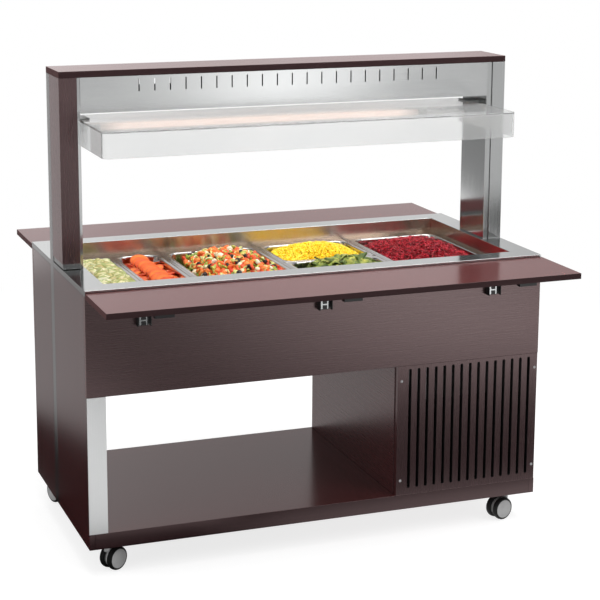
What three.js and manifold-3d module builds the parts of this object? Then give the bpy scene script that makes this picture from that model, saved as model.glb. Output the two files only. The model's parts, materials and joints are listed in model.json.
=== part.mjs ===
// Mobile salad bar: a wheeled cabinet with a chilled well, two fold-down trays and a canopy.
// Millimetres, +Z up. X runs along the length, Y across the depth with -Y the serving front.
// The origin is on the floor, below the middle of the cabinet.
import * as THREE from 'three'
import { mergeVertices } from 'three/addons/utils/BufferGeometryUtils.js'
import Module from 'manifold-3d'

const wasm = await Module()
wasm.setup()

// ---------- driving sizes ----------
const fit = 0.3 // clearance between pieces that touch

// cabinet
const bodyDepth = 736
const boardThickness = 18 // every laminated board
const baseClearance = 97.5 // floor to the underside of the base board
const baseThickness = 49
const frontPanelBottom = 574
const endWallThickness = 58 // end board plus its steel lining
const liningSheet = 2
const stileThickness = 3 // steel strip on the open end wall's edge

// worktop and well
const worktopHeight = 900
const worktopEdge = 16.5 // folded rim
const worktopSheet = 1.5
const endMargin = 74.5 // opening to the cabinet's end
const openingDepth = 592
const wellDepth = 200
const wellSheet = 1.5
const panLevel = 48 // worktop down to the rims of the pans
const drainRadius = 16

// food pans, standard gastronorm sizes
const panLength = 530
const panWidth = 325
const panDepth = 65
const panSheet = 1.5
const panFlange = 13
const panCorner = 38
const panPlay = 0.375 // pan to the bar beside it
const fullPans = 4 // full-size pans that the well holds side by side
const barCrest = 12 // bar between two pans
const barShoulder = 9 // ledge that carries a pan's rim, each side
const barHeight = 14
const ledgeOverlap = 9

// fold-down trays and their brackets
const trayDepth = 247
const trayGap = 5 // tray to the worktop's rim
const trayDrop = 6.5 // tray's top below the worktop
const bracketInset = 174 // outer bracket to the cabinet's end
const bracketWidth = 42
const bracketHeight = 87.5
const bracketSheet = 2
const cheekReach = 24 // bracket's cheeks, out from the panel
const hingeOut = 17 // hinge axis, out from the front panel
const hingeDown = 9.5 // hinge axis, below the tray
const pinRadius = 4
const bracketDrop = 3.5 // bracket's top below the tray, clear of the turning tray
const catchHeight = 30
const catchInset = 6 // catch, in from the bracket's sides
const armDepth = 12
const armPlay = 1 // arm to a bracket's cheek
const eyeRadius = 7.2
const armEarWidth = 58
const armEarLength = 22
const armSetback = 15 // arm's end, back from the tray's front edge

// posts
const postWidth = 65 // along X
const postDepth = 174 // along Y
const steelFace = 44 // steel corner, along X
const steelSide = 42 // steel corner, along Y
const grooveWidth = 5
const grooveDepth = 8
const postPlate = 9 // polished inner plate
const postWall = 3
const postFoot = 16
const footGap = 3
const footInset = 1.5

// canopy
const canopyTop = 1512
const canopyThickness = 19.5
const canopyDepth = 176
const housingHeight = 109.2
const housingSheet = 1.5
const housingRecess = 36 // underside above the housing's lower edge
const slotPitch = 50
const slotCount = 21
const slotWidth = 4
const slotHeight = 38
const slotDrop = 10 // slots below the canopy board

// sneeze guard
const guardDrop = 27 // sheet's top below the canopy housing
const guardFront = 317 // front face out from the middle
const guardGap = 10.5 // guard's cheeks to the posts
const guardSkirt = 79.5
const guardSheet = 5
const guardCorner = 22
const clampLip = 40
const clampLength = 80
const clampThickness = 5
const clampHeight = 42

// light
const tubeRadius = 13
const tubeLeftGap = 80 // tube to the left post
const tubeRightGap = 209 // tube to the right post
const tubeLift = 6 // its axis above the housing's lower edge
const battenWidth = 60
const battenHeight = 14
const socketLength = 28
const ballastLength = 130
const ballastHeight = 32

// machine compartment
const compartmentLength = 498.5 // compartment wall's open side to the cabinet's end
const grilleInset = 2.5
const grilleMargin = 1.5 // grille's far edge to the cabinet's end
const grilleSlotPitch = 30
const grilleSlotCount = 15
const grilleSlotWidth = 10
const grilleSlotInset = 243 // middle of the slots to the cabinet's end
const grilleSlotBottom = 167.5
const grilleSlotTop = 563.5
const condenserLength = 300
const condenserHeight = 260
const condenserDepth = 60
const condenserInset = 250 // its middle to the cabinet's end
const condenserSetback = 30 // behind the grille
const sidePlate = 6
const finSetback = 10 // fins, in from the side plates' edges
const rowRadius = 5
const tubeRows = 6
const shroudDepth = 40
const fanRadius = 105
const fanGap = 6
const fanHub = 24
const fanDepth = 24
const motorRadius = 36
const motorArm = 8 // half the height of the motor's arms
const bladeCount = 5
const bladeThickness = 3
const bladeChord = 38
const bladePitch = 32 * Math.PI / 180
const compressorRadius = 78
const compressorHeight = 176
const compressorCurve = 30 // rounding of its shell, top and bottom
const compressorInset = 188 // its axis to the cabinet's rear
const compressorFoot = 190
const footThickness = 4

// castors
const wheelRadius = 37.5
const wheelSides = 24
const wheelWidth = 19
const wheelGap = 13 // between the two wheels of a castor
const hubRadius = 30.5
const hubStep = 1.2
const axleRadius = 6
const axleClearance = 0.5
const castorTrail = 25
const castorInsetX = 70
const castorInsetY = 64
const capRadius = 21
const capHeight = 9
const forkWidth = 10
const forkRadius = 15
const forkNeck = 17 // half the fork's width below its cap

// ---------- derived places ----------
const modulePitch = panWidth + barCrest + 2 * panPlay
const openingLength = fullPans * modulePitch
const halfLength = openingLength / 2 + endMargin
const halfDepth = bodyDepth / 2
const baseTop = baseClearance + baseThickness
const boardLine = halfLength - boardThickness // inner face of the end boards
const wallLine = halfLength - endWallThickness // inner face of the end walls
const rimBottom = worktopHeight - worktopEdge
const panelLine = halfDepth - boardThickness // back of the front panel
const panRim = worktopHeight - panLevel
const wellFloor = worktopHeight - wellDepth
const trayTop = worktopHeight - trayDrop
const trayBottom = trayTop - boardThickness
const hingeY = halfDepth + hingeOut
const hingeZ = trayBottom - hingeDown
const trayEdge = halfDepth + trayGap + trayDepth
const canopyBottom = canopyTop - canopyThickness
const housingBottom = canopyBottom - fit - housingHeight
const guardTop = housingBottom - guardDrop
const tubeHeight = housingBottom + tubeLift
const compressorBack = halfDepth - compressorInset // its axis, behind the middle of the cabinet
const postLine = halfLength - postWidth // inner face of the posts
const guardHalfLength = postLine - guardGap
const tubeStart = -postLine + tubeLeftGap
const tubeEnd = postLine - tubeRightGap
const bracketSpread = halfLength - bracketInset
const wallFace = halfLength - compartmentLength
const grilleSlotCentre = halfLength - grilleSlotInset
const condenserCentre = halfLength - condenserInset
const halfPost = postDepth / 2
const steelStart = halfPost - steelSide
const halfCanopy = canopyDepth / 2

// ---------- materials ----------
const look = (color, roughness, metalness, opacity = 1) => () =>
  new THREE.MeshStandardMaterial({ color, roughness, metalness, opacity, transparent: opacity < 1 })
const wenge = look(0x4a3434, 0.5, 0)
const steel = look(0xc6c8c8, 0.3, 1)
const polished = look(0xd8dada, 0.1, 1)
const acrylic = look(0xeef2f2, 0.1, 0, 0.4)
const blackPlastic = look(0x151515, 0.5, 0)
const rubber = look(0x101010, 0.8, 0)
const greyPlastic = look(0x8e8e8e, 0.6, 0)
const glowing = look(0xffe8dc, 0.4, 0)
const blackPaint = look(0x1c1c1e, 0.45, 0.2)
const aluminium = look(0xa8a8a8, 0.4, 1)

// ---------- solids ----------
function solidOf(geometry) {
  geometry.deleteAttribute('normal')
  geometry.deleteAttribute('uv')
  const merged = mergeVertices(geometry, 1e-4)
  return new wasm.Manifold(new wasm.Mesh({
    numProp: 3,
    vertProperties: new Float32Array(merged.attributes.position.array),
    triVerts: new Uint32Array(merged.index.array),
  }))
}

function box(x0, x1, y0, y1, z0, z1) {
  const geometry = new THREE.BoxGeometry(x1 - x0, y1 - y0, z1 - z0)
  return solidOf(geometry.translate((x0 + x1) / 2, (y0 + y1) / 2, (z0 + z1) / 2))
}

function outline(points) {
  return new THREE.Shape(points.map(([x, y]) => new THREE.Vector2(x, y)))
}

// a plan outline raised from z0 to z1
function raised(shape, z0, z1, curveSegments = 5) {
  const geometry = new THREE.ExtrudeGeometry(shape, { depth: z1 - z0, bevelEnabled: false, curveSegments })
  return solidOf(geometry.translate(0, 0, z0))
}

// an outline drawn in Y and Z, run along X
function alongX(points, x0, x1) {
  const geometry = new THREE.ExtrudeGeometry(outline(points), { depth: x1 - x0, bevelEnabled: false })
  const turn = new THREE.Matrix4().set(0, 0, 1, x0, 1, 0, 0, 0, 0, 1, 0, 0, 0, 0, 0, 1)
  return solidOf(geometry.applyMatrix4(turn))
}

function rod(radius, from, to, axis, sides = 16) {
  const geometry = new THREE.CylinderGeometry(radius, radius, to - from, sides)
  geometry.translate(0, (from + to) / 2, 0)
  if (axis === 'x') geometry.rotateZ(-Math.PI / 2)
  if (axis === 'z') geometry.rotateX(Math.PI / 2)
  return geometry
}

function roundedRectangle(halfX, halfY, radius) {
  const shape = new THREE.Shape()
  const [a, b] = [halfX - radius, halfY - radius]
  shape.absarc(a, b, radius, 0, Math.PI / 2)
  shape.absarc(-a, b, radius, Math.PI / 2, Math.PI)
  shape.absarc(-a, -b, radius, Math.PI, 1.5 * Math.PI)
  shape.absarc(a, -b, radius, 1.5 * Math.PI, 2 * Math.PI)
  shape.closePath()
  return shape
}

const join = (...solids) => solids.reduce((sum, solid) => sum.add(solid))
const cut = (solid, ...tools) => tools.reduce((rest, tool) => rest.subtract(tool), solid)

function piece(name, solid, material) {
  const mesh = solid.getMesh()
  const geometry = new THREE.BufferGeometry()
  geometry.setAttribute('position', new THREE.BufferAttribute(new Float32Array(mesh.vertProperties), 3))
  geometry.setIndex(new THREE.BufferAttribute(new Uint32Array(mesh.triVerts), 1))
  geometry.computeVertexNormals()
  const result = new THREE.Mesh(geometry, material())
  result.name = name
  return result
}

// a group turned half round the vertical axis: the rear tray and the right end
function halfTurn(...children) {
  const group = new THREE.Group()
  group.rotation.z = Math.PI
  group.add(...children)
  return group
}

// ---------- cabinet ----------
function baseBoard() {
  const inner = boardLine - fit
  return piece('base_board', box(-inner, inner, -halfDepth, halfDepth, baseClearance, baseTop), wenge)
}

// one board of an end wall, from the strip of the upright to the cabinet's front or rear
function endBoard(name, near, direction, stile) {
  const stripped = stile ? stileThickness + fit : boardThickness + fit
  const lowEdge = halfDepth
  const midEdge = halfDepth - stripped
  const topEdge = panelLine - fit
  const points = [
    [near, baseClearance], [lowEdge, baseClearance], [lowEdge, baseTop], [midEdge, baseTop],
    [midEdge, frontPanelBottom - fit], [topEdge, frontPanelBottom - fit], [topEdge, rimBottom - fit],
    [near, rimBottom - fit],
  ].map(([y, z]) => [direction * y, z])
  if (direction < 0) points.reverse()
  return piece(name, alongX(points, -halfLength, -boardLine), wenge)
}

// steel lining of the open end wall: inner skin with a stile folded over each edge
function openEndLining(name) {
  const [outer, inner] = [-halfLength, -wallLine]
  const low = baseTop + fit
  const mid = frontPanelBottom - fit
  const edge = panelLine - fit
  const solid = join(
    box(inner - liningSheet, inner, -edge, edge, low, rimBottom - fit),
    box(inner - liningSheet, inner, -halfDepth, halfDepth, low, mid),
    box(outer, inner, -halfDepth, -halfDepth + stileThickness, low, mid),
    box(outer, inner, halfDepth - stileThickness, halfDepth, low, mid),
  )
  return piece(name, solid, steel)
}

function closedEndLining(name) {
  const edge = panelLine - fit
  const skin = box(-wallLine - liningSheet, -wallLine, -edge, edge, baseTop + fit, rimBottom - fit)
  return piece(name, skin, steel)
}

function frontPanel(name) {
  const solid = box(-halfLength, halfLength, -halfDepth, -panelLine, frontPanelBottom, rimBottom - fit)
  return piece(name, solid, wenge)
}

function compartmentWall() {
  const edge = panelLine - fit
  const top = wellFloor - wellSheet - drainRadius
  const solid = box(wallFace, wallFace + boardThickness, -edge, edge, baseTop + fit, top)
  return piece('compartment_wall', solid, wenge)
}

function grille(name, rear) {
  const [near, far] = [wallFace + grilleInset, halfLength - grilleMargin]
  const yStart = rear ? panelLine : -halfDepth
  const yEnd = yStart + boardThickness
  let solid = box(near, far, yStart, yEnd, baseTop + fit, frontPanelBottom - fit)
  const half = grilleSlotWidth / 2
  for (let i = 0; i < grilleSlotCount; i++) {
    const x = grilleSlotCentre + (i - (grilleSlotCount - 1) / 2) * grilleSlotPitch
    const slot = new THREE.Shape()
    slot.absarc(x, grilleSlotTop - half, half, 0, Math.PI)
    slot.absarc(x, grilleSlotBottom + half, half, Math.PI, 2 * Math.PI)
    slot.closePath()
    const options = { depth: boardThickness + 2, bevelEnabled: false, curveSegments: 4 }
    const geometry = new THREE.ExtrudeGeometry(slot, options).rotateX(Math.PI / 2)
    solid = cut(solid, solidOf(geometry.translate(0, yEnd + 1, 0)))
  }
  return piece(name, solid, wenge)
}

// ---------- worktop, well and pans ----------
const halfOpeningX = openingLength / 2
const halfOpeningY = openingDepth / 2

function worktop() {
  const under = worktopHeight - worktopSheet
  const notchX = boardLine - fit
  const [near, far] = [steelStart - fit, halfPost + fit]
  const solid = cut(
    box(-halfLength, halfLength, -halfDepth, halfDepth, rimBottom, worktopHeight),
    box(-halfLength + worktopSheet, halfLength - worktopSheet,
      -halfDepth + worktopSheet, halfDepth - worktopSheet, rimBottom - 1, under),
    box(-halfOpeningX, halfOpeningX, -halfOpeningY, halfOpeningY, rimBottom, worktopHeight + 1),
    box(-halfLength - 1, -notchX, near, far, rimBottom - 1, worktopHeight + 1),
    box(notchX, halfLength + 1, -far, -near, rimBottom - 1, worktopHeight + 1),
  )
  return piece('worktop', solid, steel)
}

// pressed tank: upper walls, a ledge for the pans' rims, lower walls, floor and drain spout
const ledgeTop = panRim - panSheet - fit
const sideLedge = (modulePitch - panWidth) / 2 + ledgeOverlap
const endLedge = (openingDepth - panLength) / 2 + ledgeOverlap

function well() {
  const top = worktopHeight - worktopSheet - fit
  const [ox, oy] = [halfOpeningX, halfOpeningY]
  const [ix, iy] = [ox - sideLedge, oy - endLedge]
  const t = wellSheet
  const solid = cut(
    join(
      box(-ox - t, ox + t, -oy - t, oy + t, ledgeTop - t, top),
      box(-ix - t, ix + t, -iy - t, iy + t, wellFloor - t, ledgeTop),
      solidOf(rod(drainRadius, wellFloor - t - drainRadius, wellFloor, 'z')),
    ),
    box(-ox, ox, -oy, oy, ledgeTop, top + 1),
    box(-ix, ix, -iy, iy, wellFloor, ledgeTop + 1),
    solidOf(rod(drainRadius - t, wellFloor - t - drainRadius - 1, wellFloor + 1, 'z')),
  )
  return piece('well', solid, steel)
}

// an open pan of given outer sizes, centred on x and y, its rim at the pans' level
function pan(name, x, y, sizeX, sizeY) {
  const flange = roundedRectangle(sizeX / 2, sizeY / 2, panFlange)
  const [halfX, halfY] = [sizeX / 2 - panFlange, sizeY / 2 - panFlange]
  const tub = roundedRectangle(halfX, halfY, panCorner)
  const hollow = roundedRectangle(halfX - panSheet, halfY - panSheet, panCorner - panSheet)
  const floor = panRim - panDepth
  const solid = cut(
    join(raised(flange, panRim - panSheet, panRim), raised(tub, floor, panRim - panSheet)),
    raised(hollow, floor + panSheet, panRim + 1),
  )
  const result = piece(name, solid, polished)
  result.position.set(x, y, 0)
  return result
}

function pans() {
  const gap = 2 * fit
  const column = (i) => (i - 1.5) * modulePitch
  const narrow = (panWidth - gap) / 2
  const short = (panLength - gap) / 2
  const aside = (narrow + gap) / 2
  const back = (short + gap) / 2
  return [
    pan('pan_cucumber', column(0) - aside, 0, narrow, panLength),
    pan('pan_tomato', column(0) + aside, 0, narrow, panLength),
    pan('pan_mixed_salad', column(1), 0, panWidth, panLength),
    pan('pan_corn', column(2), back, panWidth, short),
    pan('pan_leaf_salad', column(2), -back, panWidth, short),
    pan('pan_beetroot', column(3), 0, panWidth, panLength),
  ]
}

function dividerBar(name, x) {
  const half = barCrest / 2
  const inner = halfOpeningY - endLedge - fit
  const outer = halfOpeningY - fit
  const tabBottom = ledgeTop + fit
  const solid = join(
    box(x - half, x + half, -outer, outer, tabBottom, panRim),
    box(x - half - barShoulder, x + half + barShoulder, -inner, inner, panRim - barHeight, ledgeTop),
    box(x - half, x + half, -inner, inner, panRim - barHeight, panRim),
  )
  return piece(name, solid, steel)
}

// ---------- trays and brackets ----------
function tray(name) {
  const inner = halfDepth + trayGap
  const solid = box(-halfLength, halfLength, -trayEdge, -inner, trayBottom, trayTop)
  return piece(name, solid, wenge)
}

// the part fixed to the front panel: back plate, two cheeks, catch and hinge pin
function bracket(name, x) {
  const half = bracketWidth / 2
  const face = -halfDepth - fit
  const top = trayBottom - bracketDrop
  const bottom = top - bracketHeight
  const front = -halfDepth - cheekReach
  const cheek = (side) => {
    const edges = [side * half, side * (half - bracketSheet)].sort((a, b) => a - b)
    return box(x + edges[0], x + edges[1], front, face, bottom, top)
  }
  const catchHalf = half - catchInset
  const catchFront = -hingeY + armDepth - hingeDown + 2 * bracketSheet
  const pin = solidOf(rod(pinRadius, x - half, x + half, 'x').translate(0, -hingeY, hingeZ))
  const solid = join(
    box(x - half, x + half, face - bracketSheet, face, bottom, top),
    cheek(-1), cheek(1), pin,
    box(x - catchHalf, x + catchHalf, catchFront, face, bottom, bottom + catchHeight),
  )
  return piece(name, solid, polished)
}

// the part fixed under the tray: a channel with ears at its end, bored for the hinge pin
function trayArm(name, x) {
  const half = bracketWidth / 2 - bracketSheet - armPlay
  const top = trayBottom - fit
  const bottom = top - armDepth
  const back = -halfDepth - trayGap - 2 * fit
  const front = -trayEdge + armSetback
  const eye = solidOf(rod(eyeRadius, x - half, x + half, 'x').translate(0, -hingeY, hingeZ))
  const bore = rod(pinRadius + 2 * fit, x - half - 1, x + half + 1, 'x').translate(0, -hingeY, hingeZ)
  const hollowBack = -hingeY - armDepth
  const solid = cut(
    join(
      box(x - half, x + half, front, back, bottom, top),
      box(x - armEarWidth / 2, x + armEarWidth / 2, front, front + armEarLength, bottom, top),
      eye,
    ),
    box(x - half + bracketSheet, x + half - bracketSheet, front + armEarLength, hollowBack,
      bottom - 1, top - bracketSheet),
    solidOf(bore),
  )
  return piece(name, solid, blackPaint)
}

function traySet(side) {
  const places = [['left', -bracketSpread], ['centre', 0], ['right', bracketSpread]]
  const pieces = [tray(`${side}_tray`)]
  for (const [place, x] of places) {
    pieces.push(bracket(`${side}_bracket_${place}`, x), trayArm(`${side}_tray_arm_${place}`, x))
  }
  return pieces
}

// ---------- posts ----------
// steel upright: a strip in the end wall, a hollow corner with an inner plate above the worktop
function upright(name) {
  const foot = worktopHeight + fit
  const top = canopyBottom - fit
  const plateFace = -postLine
  const plateBack = plateFace - postPlate
  const grooveStart = -halfLength + steelFace
  const grooveEnd = grooveStart + grooveWidth
  const profile = outline([
    [-halfLength, steelStart], [plateBack, steelStart], [plateBack, -halfPost], [plateFace, -halfPost],
    [plateFace, halfPost], [grooveEnd, halfPost],
    [grooveEnd, halfPost - grooveDepth], [grooveStart, halfPost - grooveDepth],
    [grooveStart, halfPost], [-halfLength, halfPost],
  ])
  const solid = cut(
    join(
      box(-halfLength, -boardLine, steelStart, halfPost, baseClearance, foot + 1),
      raised(profile, foot, top),
      box(-halfLength + footInset, plateBack, -halfPost + footInset, steelStart, foot + footGap,
        foot + footGap + postFoot),
    ),
    box(-halfLength + postWall, grooveStart - postWall, steelStart + postWall, halfPost - postWall,
      foot + postWall, top + 1),
    box(-halfLength + boardThickness, plateBack - postWall, -halfPost + boardThickness,
      steelStart - postWall, foot, foot + footGap + postFoot + 1),
  )
  return piece(name, solid, steel)
}

function postCladding(name) {
  const inner = -postLine - postPlate - fit
  const back = steelStart - fit
  const plan = outline([
    [-halfLength, -halfPost], [inner, -halfPost], [inner, -halfPost + boardThickness],
    [-boardLine, -halfPost + boardThickness], [-boardLine, back], [-halfLength, back],
  ])
  const bottom = worktopHeight + 2 * fit + footGap + postFoot
  return piece(name, raised(plan, bottom, canopyBottom - fit), wenge)
}

// ---------- canopy ----------
function canopyBoard() {
  const solid = box(-halfLength, halfLength, -halfCanopy, halfCanopy, canopyBottom, canopyTop)
  return piece('canopy_board', solid, wenge)
}

// folded housing: slotted front and rear, with a raised underside
function canopyHousing() {
  const end = postLine - fit
  const top = canopyBottom - fit
  const t = housingSheet
  const shelf = housingBottom + housingRecess
  let solid = join(
    box(-end, end, -halfCanopy, -halfCanopy + t, housingBottom, top),
    box(-end, end, halfCanopy - t, halfCanopy, housingBottom, top),
    box(-end, end, -halfCanopy, halfCanopy, shelf, shelf + t),
  )
  for (let i = 0; i < slotCount; i++) {
    const x = (i - (slotCount - 1) / 2) * slotPitch
    const slotTop = canopyBottom - slotDrop
    solid = cut(solid, box(x - slotWidth / 2, x + slotWidth / 2, -halfCanopy - 1, halfCanopy + 1,
      slotTop - slotHeight, slotTop))
  }
  return piece('canopy_housing', solid, steel)
}

function lightFitting() {
  const top = housingBottom + housingRecess - fit
  const bottom = top - battenHeight
  const half = battenWidth / 2
  const socket = (x0, x1) => box(x0, x1, -tubeRadius, tubeRadius, tubeHeight - tubeRadius, bottom)
  const left = tubeStart - fit
  const right = tubeEnd + fit
  const ballast = right + socketLength
  const solid = join(
    box(left - socketLength, ballast + ballastLength, -half, half, bottom, top),
    socket(left - socketLength, left),
    socket(right, ballast),
    box(ballast, ballast + ballastLength, -half, half, top - ballastHeight, bottom),
  )
  return piece('light_fitting', solid, greyPlastic)
}

function lightTube() {
  const tube = rod(tubeRadius, tubeStart, tubeEnd, 'x', 20).translate(0, 0, tubeHeight)
  return piece('light_tube', solidOf(tube), glowing)
}

// one bent sheet: top, front skirt and side cheeks, open below and behind
function sneezeGuard() {
  const plan = (inset, back) => {
    const x = guardHalfLength - inset
    const y = -guardFront + inset
    const r = guardCorner - inset
    const shape = new THREE.Shape()
    shape.moveTo(x, back)
    shape.lineTo(-x, back)
    shape.absarc(-x + r, y + r, r, Math.PI, 1.5 * Math.PI)
    shape.absarc(x - r, y + r, r, 1.5 * Math.PI, 2 * Math.PI)
    shape.closePath()
    return shape
  }
  const bottom = guardTop - guardSkirt
  const solid = cut(
    raised(plan(0, halfPost), bottom, guardTop, 8),
    raised(plan(guardSheet, halfPost + 1), bottom - 1, guardTop - guardSheet, 8),
  )
  return piece('sneeze_guard', solid, acrylic)
}

// holds the guard on the left post: a plate on the post and a lip over the sheet
function guardClamp(name) {
  const outer = -postLine + fit
  const half = clampLength / 2
  const lipBottom = guardTop + fit
  const lipTop = lipBottom + clampThickness
  const solid = join(
    box(outer, -guardHalfLength - fit, -half, half, lipTop - clampHeight, lipTop),
    box(outer, outer + clampLip, -half, half, lipBottom, lipTop),
  )
  return piece(name, solid, polished)
}

// ---------- machine compartment ----------
const condenserFront = -panelLine + condenserSetback
const condenserBack = condenserFront + condenserDepth
const condenserLow = baseTop + fit
const fanHeight = condenserLow + condenserHeight / 2

// finned block on two side plates, with its rows of tube showing as ribs
function condenser() {
  const [x0, x1] = [condenserCentre - condenserLength / 2, condenserCentre + condenserLength / 2]
  const top = condenserLow + condenserHeight
  let solid = join(
    box(x0, x1, condenserFront + finSetback, condenserBack - finSetback, condenserLow, top),
    box(x0, x0 + sidePlate, condenserFront, condenserBack, condenserLow, top),
    box(x1 - sidePlate, x1, condenserFront, condenserBack, condenserLow, top),
  )
  for (let i = 0; i < tubeRows; i++) {
    const z = condenserLow + (i + 0.5) * condenserHeight / tubeRows
    const row = rod(rowRadius, x0 + 1, x1 - 1, 'x', 8).translate(0, condenserFront + finSetback, z)
    solid = join(solid, solidOf(row))
  }
  return piece('condenser', solid, aluminium)
}

// ring round the fan, with the motor on two arms behind it
function fanShroud() {
  const [x0, x1] = [condenserCentre - condenserLength / 2, condenserCentre + condenserLength / 2]
  const front = condenserBack + fit
  const back = front + shroudDepth
  const top = condenserLow + condenserHeight
  const bore = rod(fanRadius + fanGap, front - 1, back + 1, 'y', 32).translate(condenserCentre, 0, fanHeight)
  const motor = rod(motorRadius, back - fanGap, back + shroudDepth, 'y', 20)
  const solid = join(
    cut(box(x0, x1, front, back, condenserLow, top), solidOf(bore)),
    box(x0, x1, back - fanGap, back, fanHeight - motorArm, fanHeight + motorArm),
    solidOf(motor.translate(condenserCentre, 0, fanHeight)),
  )
  return piece('fan_shroud', solid, blackPaint)
}

function fanRotor() {
  const front = condenserBack + fit + fanGap / 2
  let solid = solidOf(rod(fanHub, front, front + fanDepth, 'y', 20))
  const middle = front + fanDepth / 2
  for (let i = 0; i < bladeCount; i++) {
    const reach = fanRadius - fanHub / 2
    const blade = new THREE.BoxGeometry(bladeChord, bladeThickness, reach)
    blade.rotateZ(bladePitch).translate(0, middle, fanHub / 2 + reach / 2)
    blade.translate(0, -middle, 0).rotateY(i * 2 * Math.PI / bladeCount).translate(0, middle, 0)
    solid = join(solid, solidOf(blade))
  }
  const result = piece('fan_rotor', solid, blackPlastic)
  result.position.set(condenserCentre, 0, fanHeight)
  return result
}

function compressor() {
  const bottom = baseTop + fit
  const body = bottom + footThickness
  const centre = compressorRadius - compressorCurve
  const profile = new THREE.Path()
  profile.moveTo(0, 0)
  profile.lineTo(centre, 0)
  profile.absarc(centre, compressorCurve, compressorCurve, -Math.PI / 2, 0)
  profile.absarc(centre, compressorHeight - compressorCurve, compressorCurve, 0, Math.PI / 2)
  profile.lineTo(0, compressorHeight)
  const dome = new THREE.LatheGeometry(profile.getPoints(2), 24)
  dome.rotateX(Math.PI / 2).translate(condenserCentre, compressorBack, body - fit)
  const half = compressorFoot / 2
  const solid = join(
    solidOf(dome),
    box(condenserCentre - half, condenserCentre + half, compressorBack - half, compressorBack + half,
      bottom, body),
  )
  return piece('compressor', solid, blackPaint)
}

// ---------- castors ----------
// drawn with the swivel axis at the origin, trailing along +X and the axle along Y
function castorFork(name) {
  const half = forkWidth / 2
  const top = baseClearance - fit
  const web = new THREE.Shape()
  web.moveTo(-forkNeck, top - capHeight / 2)
  web.lineTo(-forkNeck, top - capHeight)
  web.absarc(castorTrail, wheelRadius, forkRadius, Math.PI, 2 * Math.PI)
  web.lineTo(castorTrail + forkRadius, top - capHeight - forkRadius)
  web.lineTo(forkNeck, top - capHeight)
  web.lineTo(forkNeck, top - capHeight / 2)
  web.closePath()
  const options = { depth: forkWidth, bevelEnabled: false, curveSegments: 6 }
  const plate = new THREE.ExtrudeGeometry(web, options).rotateX(Math.PI / 2).translate(0, half, 0)
  const bore = rod(axleRadius + axleClearance, -half - 1, half + 1, 'y').translate(castorTrail, 0, wheelRadius)
  const solid = join(
    cut(solidOf(plate), solidOf(bore)),
    solidOf(rod(capRadius, top - capHeight, top, 'z', 20)),
  )
  return piece(name, solid, greyPlastic)
}

// two wheels on one axle, turned so that a flat of each tyre is on the floor
function castorWheels(name) {
  const near = wheelGap / 2
  const far = near + wheelWidth
  const edge = 3
  const facet = Math.PI / wheelSides
  const r = wheelRadius / Math.cos(facet)
  const half = [[axleRadius, near], [r - edge, near], [r, near + edge], [r, far - edge], [r - edge, far],
    [hubRadius, far], [hubRadius, far + hubStep], [0, far + hubStep]]
  const mirrored = half.map(([radius, y]) => [radius, -y]).reverse()
  const profile = [...mirrored, ...half].map(([radius, y]) => new THREE.Vector2(radius, y))
  const wheels = new THREE.LatheGeometry(profile, wheelSides).rotateY(facet)
  return piece(name, solidOf(wheels.translate(castorTrail, 0, wheelRadius)), rubber)
}

// corner, side along X, side along Y, and the way the castor trails, in degrees
const castorPlaces = [
  ['front_left', -1, -1, 29], ['front_right', 1, -1, 195],
  ['rear_left', -1, 1, 110], ['rear_right', 1, 1, 200],
]

function castor([corner, sideX, sideY, trail]) {
  const group = new THREE.Group()
  group.position.set(sideX * (halfLength - castorInsetX), sideY * (halfDepth - castorInsetY), 0)
  group.rotation.z = trail * Math.PI / 180
  group.add(castorFork(`castor_fork_${corner}`), castorWheels(`castor_wheels_${corner}`))
  return group
}

// ---------- the whole ----------
const saladBar = new THREE.Group()
saladBar.add(
  baseBoard(),
  endBoard('left_end_board_front', -steelStart + fit, -1, true),
  endBoard('left_end_board_rear', halfPost + fit, 1, true),
  openEndLining('left_end_lining'),
  upright('left_upright'),
  postCladding('left_post_cladding'),
  halfTurn(
    endBoard('right_end_board_rear', -steelStart + fit, -1, false),
    endBoard('right_end_board_front', halfPost + fit, 1, false),
    closedEndLining('right_end_lining'),
    upright('right_upright'),
    postCladding('right_post_cladding'),
  ),
  frontPanel('front_panel'),
  halfTurn(frontPanel('rear_panel')),
  compartmentWall(),
  grille('front_grille', false),
  grille('rear_grille', true),
  worktop(),
  well(),
  ...pans(),
  dividerBar('divider_bar_left', -modulePitch),
  dividerBar('divider_bar_centre', 0),
  dividerBar('divider_bar_right', modulePitch),
  ...traySet('front'),
  halfTurn(...traySet('rear')),
  canopyBoard(),
  canopyHousing(),
  lightFitting(),
  lightTube(),
  sneezeGuard(),
  guardClamp('guard_clamp_left'),
  halfTurn(guardClamp('guard_clamp_right')),
  condenser(),
  fanShroud(),
  fanRotor(),
  compressor(),
  ...castorPlaces.map(castor),
)

export default saladBar
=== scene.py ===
import json
import math

import bmesh
import bpy
import numpy as np
from mathutils import Matrix, Vector

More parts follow.
